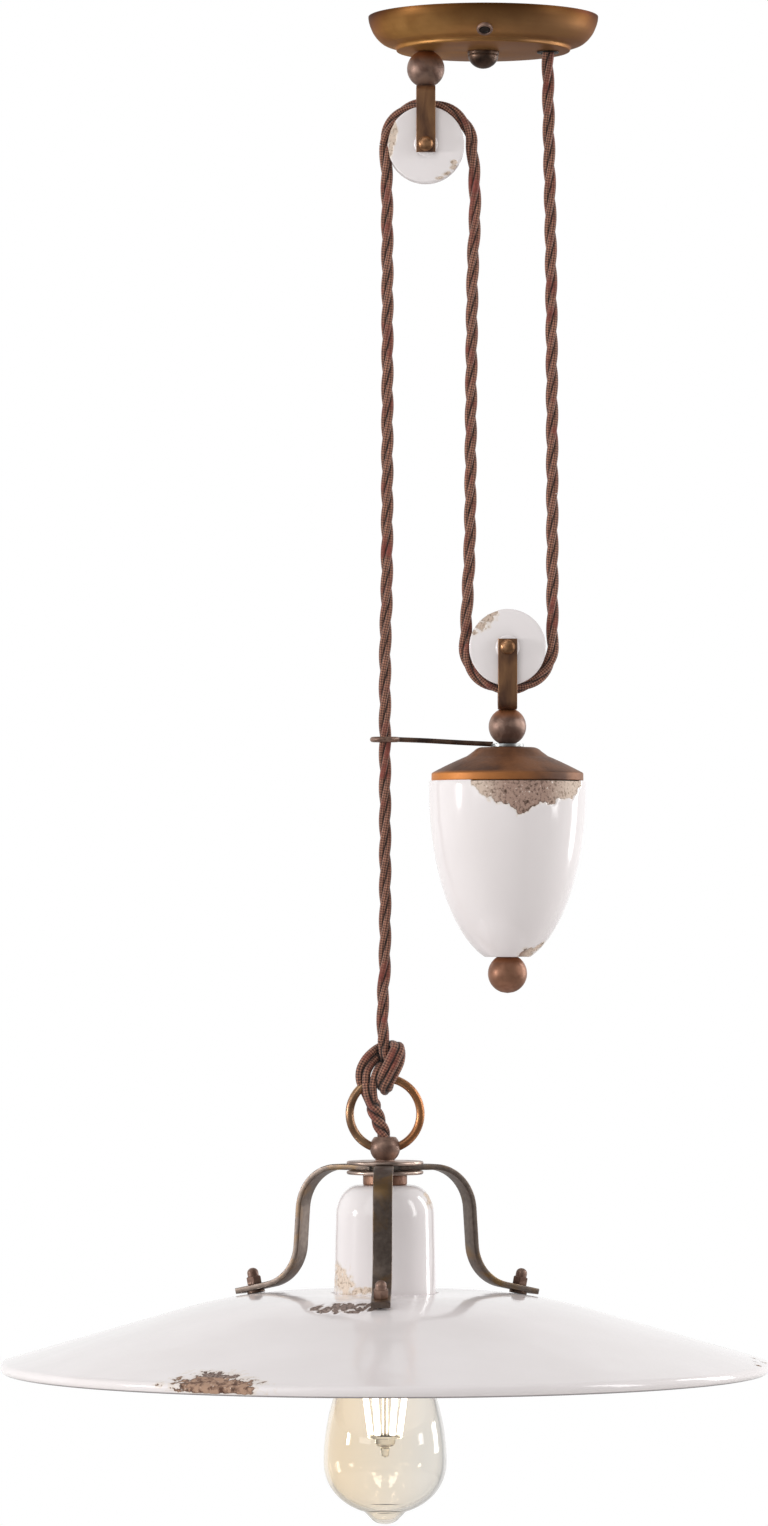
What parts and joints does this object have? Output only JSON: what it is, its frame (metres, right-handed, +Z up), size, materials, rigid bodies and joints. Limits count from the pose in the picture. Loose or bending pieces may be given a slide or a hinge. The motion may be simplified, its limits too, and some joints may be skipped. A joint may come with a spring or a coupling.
{
  "type": "rise and fall pendant light",
  "caption": "Wide glazed ceramic shade on a textile flex over a ceiling pulley and round the pulley of a ceramic counterweight, so that the lamp slides up and down.",
  "frame": {"origin": "middle of the ceiling bracket's two screw slots, in the plane of the ceiling", "axes": "+Z up to the ceiling, +X right and +Y back as the picture sees it"},
  "size_m": [0.3999, 0.4, 0.7851],
  "materials": {
    "antique_brass": "satin spun brass, browned",
    "zinc_steel": "zinc-plated steel",
    "dark_steel": "dark burnished steel",
    "burnished_strip": "browned steel strip",
    "rusty_iron": "mottled rust-brown iron",
    "rusty_cap": "orange-brown rusted sheet",
    "aged_wire": "dull aged brass",
    "bright_brass": "plain brass",
    "cap_metal": "plain drawn metal",
    "white_ceramic": "glossy white glaze with worn chips",
    "iron_filling": "plain cast iron",
    "textile_flex": "three strands of woven textile, twisted",
    "terminal_plastic": "ivory nylon",
    "bulb_glass": "clear glass",
    "led_filament": "glowing light filament"
  },
  "bodies": {
    "ceiling": {"rose_cover": "antique_brass", "ceiling_bracket": "zinc_steel", "carrier_plate": "zinc_steel", "rose_stud": "zinc_steel", "rose_dome_nut": "rusty_iron", "rose_side_screws": "dark_steel", "flex_bush": "dark_steel", "flex_grip": "bright_brass", "grip_screw": "zinc_steel", "terminal_block": "terminal_plastic", "upper_ball": "rusty_iron", "upper_bolt": "zinc_steel", "upper_bolt_nut": "zinc_steel", "upper_fork": "burnished_strip", "upper_axle": "rusty_iron", "flex_upper_turn": "textile_flex"},
    "upper_pulley": {"upper_sheave": "white_ceramic"},
    "counterweight": {"lower_fork": "burnished_strip", "lower_axle": "rusty_iron", "lower_ball": "rusty_iron", "guide_arm": "dark_steel", "weight_bolt": "zinc_steel", "weight_cap": "rusty_cap", "weight_urn": "white_ceramic", "weight_core": "iron_filling", "weight_finial": "rusty_iron", "flex_lower_turn": "textile_flex", "flex_middle": "textile_flex", "flex_right": "textile_flex"},
    "lower_pulley": {"lower_sheave": "white_ceramic"},
    "hanger": {"carry_ring": "aged_wire", "flex_knot": "textile_flex", "flex_left": "textile_flex", "flex_tail": "textile_flex"},
    "lamp": {"gland_ball": "rusty_iron", "top_plate": "rusty_iron", "bottom_plate": "rusty_iron", "plate_rivets": "dark_steel", "arm_front": "burnished_strip", "arm_left": "burnished_strip", "arm_right": "burnished_strip", "lamp_nipple": "zinc_steel", "neck_collar": "rusty_iron", "nipple_nut": "zinc_steel", "lampholder_cup": "white_ceramic", "lampholder": "white_ceramic", "socket_shell": "bright_brass", "centre_contact": "bright_brass", "shade": "white_ceramic", "shade_bolts": "zinc_steel", "acorn_nuts": "antique_brass", "foot_washers": "dark_steel", "bolt_washers": "zinc_steel"},
    "bulb": {"bulb_glass": "bulb_glass", "bulb_cap": "cap_metal", "bulb_stem": "bulb_glass", "bulb_filaments": "led_filament"}
  },
  "joints": [
    {"name": "lamp_height", "type": "slide", "parent": "ceiling", "child": "hanger", "axis": [0, 0, 1], "range_m": [-0.44, 0.09], "deforming": ["flex_left"]},
    {"name": "counterweight_travel", "type": "slide", "parent": "ceiling", "child": "counterweight", "axis": [0, 0, 1], "range_m": [-0.0455, 0.2205], "deforming": ["flex_right", "flex_middle"]},
    {"name": "upper_sheave_spin", "type": "hinge", "parent": "ceiling", "child": "upper_pulley", "pos_m": [-0.03, 0, -0.067], "axis": [0, 1, 0], "continuous": true},
    {"name": "lower_sheave_spin", "type": "hinge", "parent": "counterweight", "child": "lower_pulley", "pos_m": [0.0125, 0, -0.3293], "axis": [0, 1, 0], "continuous": true},
    {"name": "lamp_tilt", "type": "hinge", "parent": "hanger", "child": "lamp", "pos_m": [-0.05125, 0, -0.5904], "axis": [1, 0, 0], "range_deg": [-12, 12], "deforming": ["flex_tail"]},
    {"name": "bulb_release", "type": "slide", "parent": "lamp", "child": "bulb", "axis": [0, 0, -1], "range_m": [0, 0.15]}
  ],
  "couplings": [
    {"joint": "counterweight_travel", "follows": "lamp_height", "ratio": -0.5},
    {"joint": "upper_sheave_spin", "follows": "lamp_height", "rad_per_m": 47.059},
    {"joint": "lower_sheave_spin", "follows": "lamp_height", "rad_per_m": -23.529}
  ]
}
